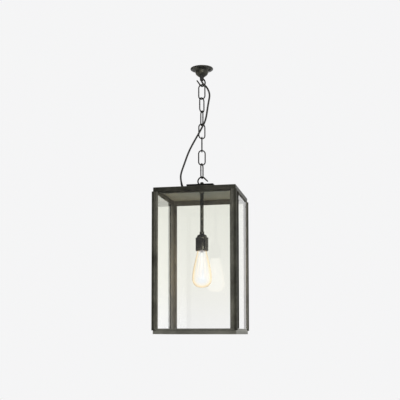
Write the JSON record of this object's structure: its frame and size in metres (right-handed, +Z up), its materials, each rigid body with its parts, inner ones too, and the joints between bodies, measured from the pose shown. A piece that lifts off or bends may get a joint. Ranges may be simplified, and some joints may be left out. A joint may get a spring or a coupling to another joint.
{
  "type": "hanging lantern",
  "caption": "Square hanging glass lantern with a dark metal frame and open base, hung by an oval-link chain and hooks from a round ceiling plate, with one pear-shaped lamp.",
  "frame": {"origin": "centre of the ceiling plate's flat top, on the ceiling", "axes": "+Z up into the ceiling, -Y is the front pane, X across the lantern"},
  "size_m": [0.27, 0.27, 0.8771],
  "materials": {
    "weathered_bronze": "weathered dark bronze, satin",
    "steel": "plain",
    "pane_glass": "clear",
    "lamp_glass": "clear, warm",
    "brass": "plain",
    "ceramic": "ceramic",
    "rubber": "matt",
    "braid": "braided, dark",
    "filament": "glowing"
  },
  "bodies": {
    "ceiling_mount": {"ceiling_plate": "weathered_bronze", "upper_hook": "weathered_bronze", "upper_hook_nut": "steel", "supply_cord": "braid"},
    "link_1": {"chain_link_1": "weathered_bronze"},
    "link_2": {"chain_link_2": "weathered_bronze"},
    "link_3": {"chain_link_3": "weathered_bronze"},
    "link_4": {"chain_link_4": "weathered_bronze"},
    "link_5": {"chain_link_5": "weathered_bronze"},
    "link_6": {"chain_link_6": "weathered_bronze"},
    "link_7": {"chain_link_7": "weathered_bronze"},
    "lantern": {"lower_hook": "weathered_bronze", "cap_cover": "weathered_bronze", "roof_plate": "weathered_bronze", "top_rail_front": "weathered_bronze", "top_rail_right": "weathered_bronze", "top_rail_rear": "weathered_bronze", "top_rail_left": "weathered_bronze", "bottom_rail_front": "weathered_bronze", "bottom_rail_right": "weathered_bronze", "bottom_rail_rear": "weathered_bronze", "bottom_rail_left": "weathered_bronze", "frame_post_rear_right": "weathered_bronze", "frame_post_rear_left": "weathered_bronze", "frame_post_front_left": "weathered_bronze", "frame_post_front_right": "weathered_bronze", "corner_angle_rear_right": "weathered_bronze", "corner_angle_rear_left": "weathered_bronze", "corner_angle_front_left": "weathered_bronze", "corner_angle_front_right": "weathered_bronze", "glass_stop_rear_right": "weathered_bronze", "glass_stop_rear_left": "weathered_bronze", "glass_stop_front_left": "weathered_bronze", "glass_stop_front_right": "weathered_bronze", "side_stile_front_right": "weathered_bronze", "side_stile_rear_left": "weathered_bronze", "stem_tube": "weathered_bronze", "stem_collar": "weathered_bronze", "stem_locknut": "weathered_bronze", "lampholder_dome": "weathered_bronze", "lampholder_ring": "weathered_bronze", "lampholder_skirt": "weathered_bronze", "lower_hook_nut": "steel", "stem_nut": "steel", "glass_pane_front": "pane_glass", "glass_pane_right": "pane_glass", "glass_pane_rear": "pane_glass", "glass_pane_left": "pane_glass", "lampholder_screw_shell": "brass", "lampholder_contact": "brass", "lampholder_insert": "ceramic", "cord_gland": "rubber", "inner_flex": "braid"},
    "lamp": {"bulb_glass": "lamp_glass", "bulb_cap": "brass", "bulb_contact": "ceramic", "bulb_mount": "lamp_glass", "filament": "filament"}
  },
  "joints": [
    {"name": "hook_to_link_1", "type": "hinge", "parent": "ceiling_mount", "child": "link_1", "pos_m": [0, 0, -0.05935], "axis": [0.682, 0.7314, 0], "range_deg": [-20, 20], "deforming": ["supply_cord"]},
    {"name": "link_1_to_link_2", "type": "hinge", "parent": "link_1", "child": "link_2", "pos_m": [0, 0, -0.1028], "axis": [0.9903, -0.1392, 0], "range_deg": [-20, 20], "deforming": ["supply_cord"]},
    {"name": "link_2_to_link_3", "type": "hinge", "parent": "link_2", "child": "link_3", "pos_m": [0, 0, -0.1469], "axis": [0.4848, 0.8746, 0], "range_deg": [-20, 20], "deforming": ["supply_cord"]},
    {"name": "link_3_to_link_4", "type": "hinge", "parent": "link_3", "child": "link_4", "pos_m": [0, 0, -0.191], "axis": [-0.5, 0.866, 0], "range_deg": [-20, 20], "deforming": ["supply_cord"]},
    {"name": "link_4_to_link_5", "type": "hinge", "parent": "link_4", "child": "link_5", "pos_m": [0, 0, -0.2351], "axis": [0.829, 0.5592, 0], "range_deg": [-20, 20], "deforming": ["supply_cord"]},
    {"name": "link_5_to_link_6", "type": "hinge", "parent": "link_5", "child": "link_6", "pos_m": [0, 0, -0.2792], "axis": [-0.2079, 0.9781, 0], "range_deg": [-20, 20], "deforming": ["supply_cord"]},
    {"name": "link_6_to_link_7", "type": "hinge", "parent": "link_6", "child": "link_7", "pos_m": [0, 0, -0.3233], "axis": [0.9563, 0.2924, 0], "range_deg": [-20, 20], "deforming": ["supply_cord"]},
    {"name": "link_7_to_lantern", "type": "hinge", "parent": "link_7", "child": "lantern", "pos_m": [0, 0, -0.3674], "axis": [0.1392, 0.9903, 0], "range_deg": [-20, 20], "deforming": ["supply_cord"]},
    {"name": "lamp_release", "type": "slide", "parent": "lantern", "child": "lamp", "axis": [0, 0, -1], "range_m": [0, 0.03]}
  ]
}
